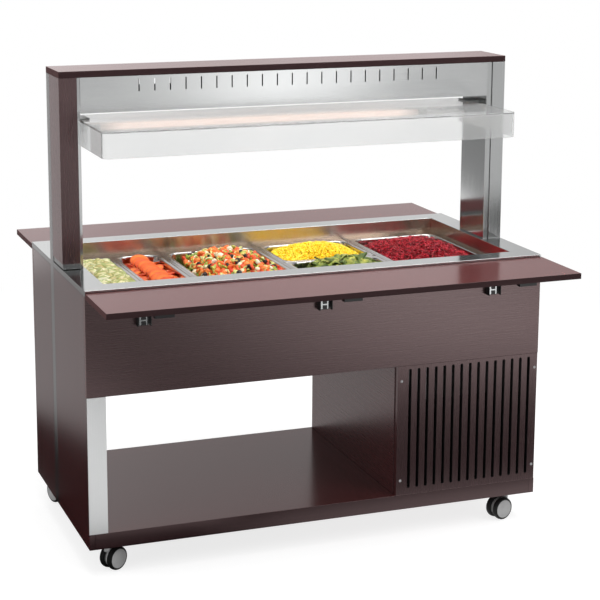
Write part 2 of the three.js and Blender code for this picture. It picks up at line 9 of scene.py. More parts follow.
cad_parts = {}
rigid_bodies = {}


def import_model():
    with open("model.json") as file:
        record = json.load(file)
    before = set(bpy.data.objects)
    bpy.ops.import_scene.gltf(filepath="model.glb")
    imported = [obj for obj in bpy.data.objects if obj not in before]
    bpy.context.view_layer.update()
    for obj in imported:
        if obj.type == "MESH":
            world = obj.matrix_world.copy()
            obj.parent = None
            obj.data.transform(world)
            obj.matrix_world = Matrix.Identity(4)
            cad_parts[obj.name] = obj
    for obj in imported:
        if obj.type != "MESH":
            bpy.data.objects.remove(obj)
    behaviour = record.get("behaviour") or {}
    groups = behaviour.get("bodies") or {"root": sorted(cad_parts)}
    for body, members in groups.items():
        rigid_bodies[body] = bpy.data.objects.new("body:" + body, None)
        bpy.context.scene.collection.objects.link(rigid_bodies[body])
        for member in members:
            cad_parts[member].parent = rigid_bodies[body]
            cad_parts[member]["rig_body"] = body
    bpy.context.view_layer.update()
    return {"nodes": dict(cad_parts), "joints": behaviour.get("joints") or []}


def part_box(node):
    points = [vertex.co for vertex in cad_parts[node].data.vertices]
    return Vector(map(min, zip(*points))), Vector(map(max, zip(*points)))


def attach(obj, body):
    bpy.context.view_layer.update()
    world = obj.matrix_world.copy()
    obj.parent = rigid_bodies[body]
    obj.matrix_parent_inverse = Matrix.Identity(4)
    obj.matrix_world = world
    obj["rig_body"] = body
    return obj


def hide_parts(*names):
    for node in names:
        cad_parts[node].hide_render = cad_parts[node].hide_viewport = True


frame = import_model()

nodes = frame["nodes"]
collection = bpy.context.scene.collection
CABINET = "cabinet"
MM = 0.001
END_WALL = 0.74  # what lies further out than this is the outer face of an end wall
CATCH_FACE = 0.3785  # a bracket's catch, out from the middle of the cabinet
HOUSING_HALF, HOUSING_FLOOR = 0.0878, 1.4198  # the inside of the canopy's housing
GRILLE_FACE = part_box("rear_grille")[1].y  # out from the middle of the cabinet
PAN_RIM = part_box("pan_corn")[1].z
TUBE_ENDS = [corner.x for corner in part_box("light_tube")]

# ---------- camera ----------
IMAGE = 600  # pixels across
FOCAL = 1661.86  # pixels
CENTRE = (255, 215)  # where the optical axis meets the image
AZIMUTH, ELEVATION = 0.33914, 0.19372  # radians
CAMERA_PLACE = (-1.8479, -4.9729, 2.0505)
SENSOR = 36


def make_camera():
    """The camera fitted to the photograph's corners, with its optical axis held at CENTRE."""
    data = bpy.data.cameras.new("camera")
    data.sensor_fit = "HORIZONTAL"
    data.sensor_width = SENSOR
    data.lens = FOCAL * SENSOR / IMAGE
    data.shift_x = (IMAGE / 2 - CENTRE[0]) / IMAGE
    data.shift_y = -(IMAGE / 2 - CENTRE[1]) / IMAGE
    data.clip_end = 200
    forward = Vector((
        math.sin(AZIMUTH) * math.cos(ELEVATION),
        math.cos(AZIMUTH) * math.cos(ELEVATION),
        -math.sin(ELEVATION),
    ))
    right = Vector((math.cos(AZIMUTH), -math.sin(AZIMUTH), 0))
    up = right.cross(forward)
    camera = bpy.data.objects.new("camera", data)
    collection.objects.link(camera)
    turn = Matrix((right, up, -forward)).transposed().to_4x4()
    camera.matrix_world = Matrix.Translation(CAMERA_PLACE) @ turn
    bpy.context.scene.camera = camera


make_camera()


# ---------- node trees ----------
class Tree:
    """A node tree with short calls for the nodes used here."""

    def __init__(self, tree):
        self.tree = tree

    def set(self, node, inputs):
        for key, value in inputs.items():
            if isinstance(value, bpy.types.NodeSocket):
                self.tree.links.new(value, node.inputs[key])
            else:
                node.inputs[key].default_value = value
        return node

    def add(self, kind, inputs=None, **attributes):
        node = self.tree.nodes.new("ShaderNode" + kind)
        for key, value in attributes.items():
            setattr(node, key, value)
        return self.set(node, inputs or {})

    def stretched(self, scale):
        """Object coordinates, multiplied along each axis."""
        place = self.add("TexCoord").outputs["Object"]
        return self.add("Mapping", {"Vector": place, "Scale": scale}).outputs[0]

    def noise(self, scale, detail, roughness, distortion=0.0):
        vector = self.stretched(scale)
        inputs = {"Vector": vector, "Scale": 1, "Detail": detail, "Roughness": roughness}
        return self.add("TexNoise", dict(inputs, Distortion=distortion)).outputs["Fac"]

    def ramp(self, factor, *stops):
        node = self.add("ValToRGB", {"Fac": factor})
        elements = node.color_ramp.elements
        while len(elements) < len(stops):
            elements.new(0.5)
        for element, (position, colour) in zip(elements, stops):
            element.position = position
            element.color = (*colour, 1)
        return node.outputs["Color"]

    def span(self, value, low, high, out_low, out_high):
        inputs = {"Value": value, "From Min": low, "From Max": high, "To Min": out_low, "To Max": out_high}
        return self.add("MapRange", inputs).outputs[0]

    def blend(self, factor, first, second, kind="MIX"):
        node = self.add("Mix", data_type="RGBA", blend_type=kind)
        for socket, value in zip((node.inputs[0], node.inputs[6], node.inputs[7]), (factor, first, second)):
            if isinstance(value, bpy.types.NodeSocket):
                self.tree.links.new(value, socket)
            else:
                socket.default_value = value if isinstance(value, float) else (*value, 1)
        return node.outputs[2]

    def bump(self, height, strength, distance):
        inputs = {"Height": height, "Strength": strength, "Distance": distance}
        return self.add("Bump", inputs).outputs[0]

    def attribute(self, name):
        return self.add("Attribute", attribute_name=name).outputs["Fac"]


def grey(*stops):
    """Stops of grey for a ramp."""
    return [(position, (value,) * 3) for position, value in stops]


def material(name, slot, **inputs):
    """A Principled material, with the record's slot that it belongs to."""
    made = bpy.data.materials.new(name)
    made.use_nodes = True
    made["slot"] = slot
    tree = Tree(made.node_tree)
    bsdf = made.node_tree.nodes["Principled BSDF"]
    tree.set(bsdf, inputs)
    return made, tree, bsdf


def along(axis, fine, coarse):
    """A scale that is coarse along one axis and fine across it."""
    scale = [fine] * 3
    scale[axis] = coarse
    return scale


def grain_tangent(tree, axis):
    """The direction of the grain, which anisotropic gloss spreads across."""
    grain = tree.add("CombineXYZ", {axis: 1.0}).outputs[0]
    return tree.add("VectorTransform", {"Vector": grain}, vector_type="VECTOR",
                    convert_from="OBJECT", convert_to="WORLD").outputs[0]


def wenge(name, axis, rough, spread, gloss=1.0, painted_sheen=(0.085, 0.013, 0.014)):
    """Dark red-brown laminate with a fine, faint grain along one axis, and a painted sheen that turns it
    redder at a low angle.
    """
    made, tree, bsdf = material(name, "wenge_laminate", **{
        "IOR": 1.6, "Specular IOR Level": gloss, "Specular Tint": (1.0, 0.74, 0.74, 1),
        "Anisotropic": spread, "Anisotropic Rotation": 0.25,
    })
    pores = tree.noise(along(axis, 500, 7), 4, 0.6)
    figure = tree.noise(along(axis, 70, 1.6), 4, 0.55, 0.3)
    base = tree.ramp(figure, (0.3, (0.019, 0.0070, 0.0080)), (0.7, (0.028, 0.0115, 0.0130)))
    dark = tree.ramp(pores, (0.36, (0.91, 0.90, 0.90)), (0.5, (1, 1, 1)), (0.7, (1.03, 1.03, 1.03)))
    # painted sheen: the colour blends towards a warm red where the board is seen at a low angle, standing in
    # for a warm gloss
    facing = tree.add("LayerWeight", {"Blend": 0.5}).outputs["Facing"]
    base = tree.blend(tree.span(facing, 0.4, 0.75, 0, 1), base, painted_sheen)
    tree.set(bsdf, {
        "Base Color": tree.blend(1.0, base, dark, "MULTIPLY"),
        "Roughness": tree.span(pores, 0.3, 0.7, rough + 0.02, rough - 0.01),
        "Normal": tree.bump(pores, 0.004, 0.0002),
        "Tangent": grain_tangent(tree, axis),
    })
    return made


def steel(name, colour, rough, axis, slot="stainless", spread=0.6, metal=1.0):
    """Brushed steel with its scratches along one axis."""
    made, tree, bsdf = material(name, slot, **{
        "Metallic": metal, "Anisotropic": spread, "Anisotropic Rotation": 0.25})
    scratches = tree.noise(along(axis, 900, 9), 3, 0.6)
    clouds = tree.noise((3, 3, 3), 2, 0.5)
    tint = tree.ramp(scratches, (0.3, tuple(0.94 * c for c in colour)), (0.7, colour))
    duller = tuple(0.88 * c for c in colour)
    tree.set(bsdf, {
        "Base Color": tree.blend(tree.span(clouds, 0.35, 0.65, 0.0, 0.3), tint, duller),
        "Roughness": tree.span(scratches, 0.3, 0.7, rough - 0.02, rough + 0.03),
        "Normal": tree.bump(scratches, 0.02, 0.0001),
        "Tangent": grain_tangent(tree, axis),
    })
    return made


def moulded(name, slot, colour, rough, grain=900, strength=0.08, metal=0.0, **inputs):
    """Plastic, rubber or paint with a fine skin and a slight mottle."""
    made, tree, bsdf = material(name, slot, Metallic=metal, **inputs)
    skin = tree.noise((grain,) * 3, 2, 0.5)
    cloud = tree.noise((25, 25, 25), 3, 0.5)
    darker = tuple(0.85 * c for c in colour)
    tree.set(bsdf, {
        "Base Color": tree.ramp(cloud, (0.35, darker), (0.65, colour)),
        "Roughness": tree.span(skin, 0.3, 0.7, rough - 0.05, rough + 0.06),
        "Normal": tree.bump(skin, strength, 0.0003),
    })
    return made


X, Y, Z = 0, 1, 2
WENGE = {
    X: wenge("wenge_x", X, rough=0.27, spread=0.2),
    Y: wenge("wenge_y", Y, rough=0.27, spread=0.2, painted_sheen=(0.085, 0.008, 0.009)),
    Z: wenge("wenge_z", Z, rough=0.27, spread=0.2),
}
# the boards that lie flat, whose gloss is sharper and whose painted sheen is warmer
WENGE_TOP = wenge("wenge_top", X, rough=0.18, spread=0.2, gloss=0.9, painted_sheen=(0.095, 0.018, 0.018))
# the end boards, with a fainter painted sheen
WENGE_END = wenge("wenge_end", Z, rough=0.2, spread=0.3, painted_sheen=(0.052, 0.004, 0.005))
# the edge band of the trays and the canopy
WENGE_EDGE = wenge("wenge_edge", X, rough=0.55, spread=0.0, gloss=0.25)
HOUSING_STEEL = steel("housing_steel", (0.70, 0.71, 0.71), 0.2, X)
WORKTOP_STEEL = steel("worktop_steel", (0.75, 0.76, 0.76), 0.15, X)
# the strips and the worktop's edge in the end walls: the same steel made darker, a painted shade on the faces
# that look out sideways
STEEL_SHADED_AT_ENDS = steel("steel_shaded_at_ends", (0.27, 0.26, 0.26), 0.22, Z)
UPRIGHT_STEEL = steel("upright_steel", (0.66, 0.67, 0.67), 0.1, Z, spread=0.3)
DIVIDER_STEEL = steel("divider_steel", (0.60, 0.58, 0.57), 0.2, Y)
# the well's steel has a warm tint painted in: painted reflection of the food and boards around it
WELL_STEEL = steel("well_steel", (0.70, 0.60, 0.51), 0.22, X, spread=0.8)
STILE_STEEL = steel("stile_steel", (0.88, 0.89, 0.89), 0.3, Z, metal=0.55)
BRIGHT = steel("bright_steel", (0.80, 0.81, 0.81), 0.1, Z, "polished_steel")
CHROME = steel("chrome", (0.40, 0.41, 0.41), 0.25, Z, "polished_steel")
PAN_STEEL = steel("pan_steel", (0.72, 0.70, 0.69), 0.15, X, "polished_steel")
BLACK_PAINT = moulded("black_paint", "black_paint", (0.014, 0.014, 0.015), 0.38)
BLACK_PLASTIC = moulded("black_plastic", "black_plastic", (0.012, 0.012, 0.012), 0.42)
TYRE = moulded("tyre_rubber", "castor_tyre", (0.010, 0.010, 0.010), 0.6, 500, 0.15,
               **{"Specular IOR Level": 0.3})
GREY_PLASTIC = moulded("grey_plastic", "grey_plastic", (0.60, 0.60, 0.60), 0.42)
WHITE_ENAMEL = moulded("white_enamel", "grey_plastic", (0.72, 0.72, 0.7), 0.3)
ZINC = moulded("zinc", "polished_steel", (0.55, 0.55, 0.56), 0.35, metal=0.3)


def acrylic():
    made, tree, bsdf = material("acrylic", "acrylic", IOR=1.49)
    haze = tree.noise((4, 4, 4), 2, 0.5)
    tree.set(bsdf, {
        "Base Color": tree.ramp(haze, (0.3, (0.86, 0.87, 0.87)), (0.7, (0.9, 0.905, 0.9))),
        "Roughness": tree.span(haze, 0.3, 0.7, 0.07, 0.1),
        "Transmission Weight": 0.8,
    })
    return made


def glow():
    made, tree, bsdf = material("lit_tube", "lamp")
    cloud = tree.noise((12, 60, 60), 2, 0.5)
    warm = tree.ramp(cloud, (0.3, (1.0, 0.66, 0.53)), (0.7, (1.0, 0.74, 0.62)))
    along_tube = tree.add("SeparateXYZ", {0: tree.add("TexCoord").outputs["Object"]}).outputs[0]
    fade = grey((0.0, 0.1), (0.07, 1.0), (0.93, 1.0), (1.0, 0.1))
    ends = tree.ramp(tree.span(along_tube, *TUBE_ENDS, 0, 1), *fade)
    tree.set(bsdf, {
        "Base Color": (0.9, 0.85, 0.8, 1),
        "Roughness": 0.3,
        "Emission Color": tree.blend(1.0, warm, ends, "MULTIPLY"),
        "Emission Strength": 0.85,
    })
    return made


ACRYLIC = acrylic()
GLOW = glow()


# ---------- meshes ----------
def finish_piece(piece, paint, body, *replaced):
    """Paint a piece, say what it rides on, and hide the CAD nodes it replaces."""
    if not piece.data.materials:
        piece.data.materials.append(paint)
    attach(piece, body)
    if replaced:
        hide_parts(*replaced)
    return piece


def mesh_piece(name, vertices, faces, paint, body=CABINET, replaced=(), smooth=True):
    mesh = bpy.data.meshes.new(name)
    mesh.from_pydata([tuple(v) for v in vertices], [], [tuple(int(i) for i in f) for f in faces])
    mesh.validate()
    if smooth:
        mesh.shade_smooth()
    piece = bpy.data.objects.new(name, mesh)
    collection.objects.link(piece)
    return finish_piece(piece, paint, body, *replaced)


def soften(piece, width, segments):
    bevel = piece.modifiers.new("soft_edges", "BEVEL")
    bevel.width = width
    bevel.segments = segments
    bevel.limit_method = "ANGLE"
    bevel.angle_limit = math.radians(30)
    piece.data.shade_smooth()
    normals = piece.modifiers.new("flat_faces", "WEIGHTED_NORMAL")
    normals.keep_sharp = True


def dressed(node, paint, width=0.0006, segments=2):
    """A copy of a CAD node with softened edges, shown in its place."""
    source = nodes[node]
    mesh = source.data.copy()
    shape = bmesh.new()
    shape.from_mesh(mesh)
    bmesh.ops.remove_doubles(shape, verts=shape.verts, dist=1e-6)
    bmesh.ops.dissolve_limit(
        shape, angle_limit=math.radians(0.5), verts=shape.verts, edges=shape.edges, delimit={"NORMAL"})
    shape.to_mesh(mesh)
    shape.free()
    mesh.materials.clear()
    piece = bpy.data.objects.new(node + "_shown", mesh)
    collection.objects.link(piece)
    if width:
        soften(piece, width, segments)
    return finish_piece(piece, paint, source["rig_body"], node)


def second_paint(piece, paint, chosen):
    """Give the polygons that the test picks a second material."""
    piece.data.materials.append(paint)
    for polygon in piece.data.polygons:
        polygon.material_index = 1 if chosen(polygon) else 0


def block(low, high):
    """The corners and faces of an upright box."""
    corners = [(x, y, z) for x in (low[0], high[0]) for y in (low[1], high[1]) for z in (low[2], high[2])]
    return corners, [(0, 1, 3, 2), (4, 6, 7, 5), (0, 4, 5, 1), (2, 3, 7, 6), (0, 2, 6, 4), (1, 5, 7, 3)]


def bracket(side, place):
    """The fixed half of a folding bracket: black cheeks, and a bright catch whose front face is painted black
    as painted shadow under the tray.
    """
    name = f"{side}_bracket_{place}"
    piece = dressed(name, BRIGHT)
    low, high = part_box(name)
    middle = (low.x + high.x) / 2
    cheek = (high.x - low.x) / 2 - 0.0022
    out = -1 if side == "front" else 1
    catch = out * CATCH_FACE
    # the cheeks are black; the catch's front face is painted black as well, a painted shadow in its channel
    second_paint(piece, BLACK_PAINT, lambda p: abs(p.center.x - middle) > cheek or (
        abs(p.normal.y) > 0.9 and abs(p.center.y - catch) < 0.001))
    vertices, faces = [], []
    # two upright bars and one across: millimetres from the bracket's middle and from its foot
    for x0, x1, z0, z1 in ((-13, -8, 2, 28), (7, 11, 2, 28), (-8, 7, 14, 18)):
        ys = sorted((catch + out * 0.0002, catch + out * 0.0012))
        corners, sides = block(
            (middle + x0 * MM, ys[0], low.z + z0 * MM), (middle + x1 * MM, ys[1], low.z + z1 * MM))
        faces += [tuple(i + len(vertices) for i in face) for face in sides]
        vertices += corners
    mesh_piece(f"{name}_catch", vertices, faces, CHROME, smooth=False)


def painted(node, paint):
    """A CAD node shown as it is, with its own paint."""
    for holder in nodes[node].material_slots:
        holder.material = paint


# ---------- the boards and sheets of the cabinet ----------
BOARD_EDGE = 0.0008  # how far the edges of the large boards are rounded
dressed("base_board", WENGE_TOP, BOARD_EDGE)
for name in ("canopy_board", "front_tray", "rear_tray"):
    second_paint(dressed(name, WENGE_TOP, BOARD_EDGE), WENGE_EDGE, lambda p: abs(p.normal.z) < 0.5)
for name in ("front_panel", "rear_panel"):
    dressed(name, WENGE[X], BOARD_EDGE)
for name in (
    "left_end_board_front", "left_end_board_rear", "right_end_board_front", "right_end_board_rear",
):
    dressed(name, WENGE_END)
for name in ("left_post_cladding", "right_post_cladding"):
    dressed(name, WENGE[Z])
for name in ("front_grille", "rear_grille"):
    low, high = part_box(name)
    # the slots' inner walls are painted black: painted shade in the slots
    second_paint(dressed(name, WENGE[Z], width=0.0003), BLACK_PAINT, lambda p: abs(p.normal.y) < 0.5 and (
        low.x + 0.01 < p.center.x < high.x - 0.01 and low.z + 0.01 < p.center.z < high.z - 0.01))
dressed("compartment_wall", WENGE[Y])
# the worktop's faces at the ends get the darker steel: painted shade
second_paint(dressed("worktop", WORKTOP_STEEL, width=0.0015, segments=3), STEEL_SHADED_AT_ENDS, lambda p: (
    abs(p.normal.x) > 0.9 and abs(p.center.x) > END_WALL))
for name, out in (("left_upright", -1), ("right_upright", 1)):
    # the upright's outward face gets the darker steel: painted shade
    second_paint(dressed(name, UPRIGHT_STEEL, width=0.0007), STEEL_SHADED_AT_ENDS, lambda p: out * p.normal.x > 0.9)
for name in ("left_end_lining", "right_end_lining"):
    dressed(name, STILE_STEEL, width=0.0004)
# the housing's inside, seen through its slots, is painted black: painted shade
second_paint(dressed("canopy_housing", HOUSING_STEEL, width=0), BLACK_PAINT, lambda p: (
    p.center.z > HOUSING_FLOOR and abs(p.center.y) < HOUSING_HALF))
painted("well", WELL_STEEL)
for place in ("left", "centre", "right"):
    dressed(f"divider_bar_{place}", DIVIDER_STEEL, width=0.0015, segments=3)
    for side in ("front", "rear"):
        dressed(f"{side}_tray_arm_{place}", BLACK_PAINT, width=0.0012)
        bracket(side, place)
dressed("light_fitting", WHITE_ENAMEL, width=0.001)
painted("light_tube", GLOW)
dressed("sneeze_guard", ACRYLIC, width=0.0012, segments=3)
for name in ("guard_clamp_left", "guard_clamp_right"):
    dressed(name, CHROME, width=0.0008)
# the condenser is black, partly its own paint and partly painted shade that keeps the grille's slots dark
dressed("condenser", BLACK_PAINT)
dressed("fan_shroud", BLACK_PAINT, width=0.001)
dressed("fan_rotor", BLACK_PLASTIC)
dressed("compressor", BLACK_PAINT, width=0.001)


# ---------- lathed and lofted shapes ----------
def lathe(profile, sides):
    """Rings of (radius, height) about Z. Returns vertices, faces and each face's profile segment."""
    angles = np.arange(sides) * 2 * math.pi / sides
    vertices, faces, segments = [], [], []
    for radius, height in profile:
        vertices += [(radius * math.cos(a), radius * math.sin(a), height) for a in angles]
    for ring in range(len(profile) - 1):
        for i in range(sides):
            j = (i + 1) % sides
            low, high = ring * sides, (ring + 1) * sides
            faces.append((low + i, low + j, high + j, high + i))
            segments.append(ring)
    for ring, order in ((0, -1), (len(profile) - 1, 1)):
        faces.append(tuple(ring * sides + i for i in range(sides))[::order])
        segments.append(min(ring, len(profile) - 2))
    return vertices, faces, segments


def placed(vertices, matrix):
    return [matrix @ Vector(v) for v in vertices]


def rounded_ring(half_x, half_y, radius, z):
    """A rectangle with round corners, as a ring of points."""
    steps = 8
    points = []
    for corner in range(4):
        cx = (half_x - radius) * (1 if corner in (0, 3) else -1)
        cy = (half_y - radius) * (1 if corner in (0, 1) else -1)
        for i in range(steps + 1):
            angle = (corner + i / steps) * math.pi / 2
            points.append((cx + radius * math.cos(angle), cy + radius * math.sin(angle), z))
    return points


def loft(rings, close_start=False):
    """Faces between rings of points, closed at the last ring."""
    count = len(rings[0])
    vertices = [point for ring in rings for point in ring]
    faces = []
    for r in range(len(rings) - 1):
        for i in range(count):
            j = (i + 1) % count
            faces.append((r * count + i, r * count + j, (r + 1) * count + j, (r + 1) * count + i))
    if close_start:
        faces.append(tuple(range(count))[::-1])
    faces.append(tuple((len(rings) - 1) * count + i for i in range(count)))
    return vertices, faces


# ---------- pans ----------
FLANGE = 0.013
BED_GAP = 0.003  # between a pan's wall and its food


def pressed_pan(kind):
    """A thin pressed pan: turned-down lip, flat rim, drafted walls and rounded bottom."""
    low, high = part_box(f"pan_{kind}")
    centre = (low + high) / 2
    half_x, half_y = (high.x - low.x) / 2, (high.y - low.y) / 2
    # how far each ring lies inside the outline, its corner radius, and its height from the rim
    steps = (
        (0.0, 0.013, -0.0035), (0.0, 0.013, -0.0012), (0.0008, 0.0125, -0.0003), (0.002, 0.012, 0.0),
        (FLANGE - 0.002, 0.034, 0.0), (FLANGE - 0.0006, 0.0345, -0.0006), (FLANGE + 0.0006, 0.035, -0.0022),
        (FLANGE + 0.0012, 0.036, -0.006), (FLANGE + 0.004, 0.034, -0.050), (FLANGE + 0.006, 0.032, -0.057),
        (FLANGE + 0.010, 0.028, -0.0615), (FLANGE + 0.016, 0.022, -0.0635),
    )
    rings = [
        [(x + centre.x, y + centre.y, z) for x, y, z in
         rounded_ring(half_x - inset, half_y - inset, radius, PAN_RIM + drop)]
        for inset, radius, drop in steps
    ]
    vertices, faces = loft(rings)
    piece = mesh_piece(f"pan_{kind}_pressed", vertices, faces, PAN_STEEL, f"{kind}_pan", (f"pan_{kind}",))
    sheet = piece.modifiers.new("sheet", "SOLIDIFY")
    sheet.thickness = 0.0008
    sheet.offset = 1 if bottom_looks_down(piece) else -1
    return centre, half_x - FLANGE, half_y - FLANGE


def bottom_looks_down(piece):
    """Whether the bottom's face looks down: the sheet's thickness then goes along the normals, outward."""
    return piece.data.polygons[-1].normal.z < 0


# ---------- food ----------
class Heap:
    """Many copies of small shapes, gathered in one mesh with a tone for each copy."""

    def __init__(self, seed):
        self.random = np.random.RandomState(seed)
        self.vertices, self.faces, self.tones, self.parts = [], [], [], []
        self.count = 0

    def turn(self, tilt):
        """A random turn, with its local Z within tilt of upright."""
        spin = self.random.uniform(0, 2 * math.pi)
        lean = tilt * math.sqrt(self.random.uniform(0, 1))
        heading = self.random.uniform(0, 2 * math.pi)
        axis = Vector((math.cos(heading), math.sin(heading), 0))
        return Matrix.Rotation(lean, 3, axis) @ Matrix.Rotation(spin, 3, "Z")

    def drop(self, shape, place, turn, size=(1, 1, 1)):
        points, faces, part = shape
        moved = (np.asarray(points) * np.asarray(size)) @ np.array(turn).T + np.asarray(place)
        self.vertices.append(moved)
        self.faces += [tuple(i + self.count for i in face) for face in faces]
        self.tones.append(np.full(len(points), self.random.uniform(0, 1)))
        self.parts.append(np.asarray(part))
        self.count += len(points)

    def make(self, name, paint, body):
        piece = mesh_piece(name, np.concatenate(self.vertices), self.faces, paint, body)
        for key, values in (("tone", self.tones), ("part", self.parts)):
            attribute = piece.data.attributes.new(key, "FLOAT", "POINT")
            attribute.data.foreach_set("value", np.concatenate(values).astype(np.float32))
        return piece


def disc(radius, thickness, sides):
    """A slice: its part runs from 0 at the middle to 1 at the rind."""
    half, edge = thickness / 2, min(0.0012, thickness / 3)
    profile = ((0.0008, half), (radius * 0.55, half), (radius - edge, half), (radius, half - edge),
               (radius, -half + edge), (radius - edge, -half), (0.0008, -half))
    vertices, faces, _ = lathe(profile, sides)
    part = np.repeat([0, 0.55, 0.93, 1, 1, 0.93, 0], sides)
    return vertices, faces, part


def wedge(radius, thickness):
    """Half a slice."""
    sides = 9
    half, edge = thickness / 2, 0.001
    outline = [(0.0, -0.04)] + [(math.cos(a), math.sin(a)) for a in np.linspace(0, math.pi, sides)]
    rings = []
    for scale, z in ((0.93, half), (1.0, half - edge), (1.0, -half + edge), (0.93, -half)):
        rings.append([(radius * scale * x, radius * scale * y, z) for x, y in outline])
    vertices, faces = loft(rings, True)
    part = np.tile([0.0] + [1.0] * sides, 4)
    return vertices, faces, part


def lump(size, power):
    """A cube with its corners rounded off, less so with a higher power."""
    shape = bmesh.new()
    bmesh.ops.create_cube(shape, size=2)
    bmesh.ops.subdivide_edges(shape, edges=shape.edges, cuts=2, use_grid_fill=True)
    points = []
    for vertex in shape.verts:
        p = vertex.co
        length = (abs(p.x) ** power + abs(p.y) ** power + abs(p.z) ** power) ** (1 / power)
        points.append(tuple(size / 2 * c / length for c in p))
    faces = [tuple(v.index for v in face.verts) for face in shape.faces]
    shape.free()
    return points, faces, np.linspace(0, 1, len(points))


def ring(radius, thickness):
    """A slice of olive or pepper with its hole."""
    sides, around = 12, 6
    points, faces = [], []
    for i in range(sides):
        a = 2 * math.pi * i / sides
        for j in range(around):
            b = 2 * math.pi * j / around
            r = radius + thickness * math.cos(b)
            points.append((r * math.cos(a), r * math.sin(a), thickness * 1.3 * math.sin(b)))
            k, m = (i + 1) % sides, (j + 1) % around
            faces.append((i * around + j, k * around + j, k * around + m, i * around + m))
    return points, faces, np.tile(np.linspace(0, 1, around), sides)


def kernel():
    """A grain of sweetcorn: a rounded block, narrower at its foot."""
    width, depth, height = 0.0092, 0.0062, 0.0102
    points, faces, part = lump(1.0, 3.2)
    points = [(x * (0.8 + 0.35 * z) * width, y * (0.85 + 0.2 * z) * depth, z * height) for x, y, z in points]
    return points, faces, part


def leaf(length, width, curl):
    """An arched, rippled leaf: its part runs from 0 at the rib to 1 at the edge."""
    points, faces, part = [], [], []
    lengthwise, across = 7, 4
    for i in range(lengthwise + 1):
        t = i / lengthwise
        half = width / 2 * math.sin(math.pi * min(0.04 + 0.96 * t, 0.985)) ** 0.7
        for j in range(-across, across + 1):
            s = j / across
            ripple = 0.09 * width * math.sin(9 * t + 2.5 * s) * abs(s)
            arch = curl * length * (1 - (2 * t - 1) ** 2)
            z = arch - 0.35 * width * s * s * math.sin(3 * t + 0.5) + ripple
            points.append((length * (t - 0.5), half * s, z))
            part.append(abs(s))
    row = 2 * across + 1
    for i in range(lengthwise):
        for j in range(row - 1):
            a = i * row + j
            faces.append((a, a + row, a + row + 1, a + 1))
    return points, faces, np.array(part)


def shred(length, width, bend):
    """A curved grated strip with four sides."""
    steps = 5
    points, faces = [], []
    for i in range(steps + 1):
        t = i / steps - 0.5
        taper = 1 - 1.6 * t * t
        centre = (length * t, bend * length * (1 - 4 * t * t), 0.12 * length * math.sin(5 * t))
        for y, z in ((1, 0.7), (-1, 0.7), (-1, -0.7), (1, -0.7)):
            points.append((centre[0], centre[1] + y * width / 2 * taper, centre[2] + z * width / 2 * taper))
    for i in range(steps):
        for j in range(4):
            k = (j + 1) % 4
            faces.append((4 * i + j, 4 * i + k, 4 * i + 4 + k, 4 * i + 4 + j))
    faces += [(3, 2, 1, 0), tuple(4 * steps + j for j in range(4))]
    return points, faces, np.linspace(0, 1, len(points))


def rounded(u, v, pull=0.24):
    """A place in a square, drawn in towards the middle at the corners."""
    return u * math.sqrt(1 - pull * v * v), v * math.sqrt(1 - pull * u * u)


def crown(u, v, edge, top, power=2.4):
    """The height of a heap that is highest in the middle."""
    return edge + (top - edge) * (1 - abs(u) ** power) * (1 - abs(v) ** power)


def filling(name, centre, half_x, half_y, paint, body, edge, top, rough=0.003, corner=2.0):
    """The bed of food under the loose pieces. Heights are measured from the pan's rim.

    It falls away in the far left corner, from where v - u is past the corner given.
    """
    random = np.random.RandomState(3)
    half_x, half_y = half_x - BED_GAP, half_y - BED_GAP
    nx, ny = max(14, int(half_x / 0.006)), max(14, int(half_y / 0.006))
    vertices, faces = [], []
    for i in range(nx + 1):
        for j in range(ny + 1):
            u, v = 2 * i / nx - 1, 2 * j / ny - 1
            z = PAN_RIM + crown(u, v, edge, top) + random.uniform(-rough, rough)
            z = max(z - 0.11 * max(0.0, v - u - corner), PAN_RIM - 0.05)
            u, v = rounded(u, v, 0.2)
            vertices.append((centre.x + half_x * u, centre.y + half_y * v, z))
    for i in range(nx):
        for j in range(ny):
            a = i * (ny + 1) + j
            faces.append((a, a + ny + 1, a + ny + 2, a + 1))
    mesh_piece(name, vertices, faces, paint, body)


def scattered(heap, count, reach=0.96):
    """Jittered places over a heap, as (u, v) from -1 to 1."""
    side = int(math.ceil(math.sqrt(count)))
    cells = [(i, j) for i in range(side) for j in range(side)]
    heap.random.shuffle(cells)
    for i, j in cells[:count]:
        u = (i + heap.random.uniform(0, 1)) / side * 2 - 1
        v = (j + heap.random.uniform(0, 1)) / side * 2 - 1
        yield rounded(u * reach, v * reach)


def food_paint(name, stops, rough, part_stops=None, subsurface=0.12):
    """Wet food: colour by each piece's tone, and by its own part where that has a pattern."""
    made, tree, bsdf = material(name, "polished_steel")
    speckle = 60
    tone = tree.attribute("tone")
    mottle = tree.noise((speckle,) * 3, 3, 0.6)
    mixed = tree.add("Math", {0: tone, 1: mottle}).outputs[0]
    shade = tree.ramp(tree.span(mixed, 0.25, 1.75, 0, 1), *stops)
    if part_stops:
        shade = tree.blend(1.0, shade, tree.ramp(tree.attribute("part"), *part_stops), "MULTIPLY")
    tree.set(bsdf, {
        "Base Color": shade,
        "Roughness": tree.span(mottle, 0.3, 0.7, rough, rough + 0.15),
        "Normal": tree.bump(tree.noise((speckle * 8,) * 3, 2, 0.5), 0.2, 0.0006),
        "Subsurface Weight": subsurface,
        "Subsurface Scale": 0.004,
    })
    return made


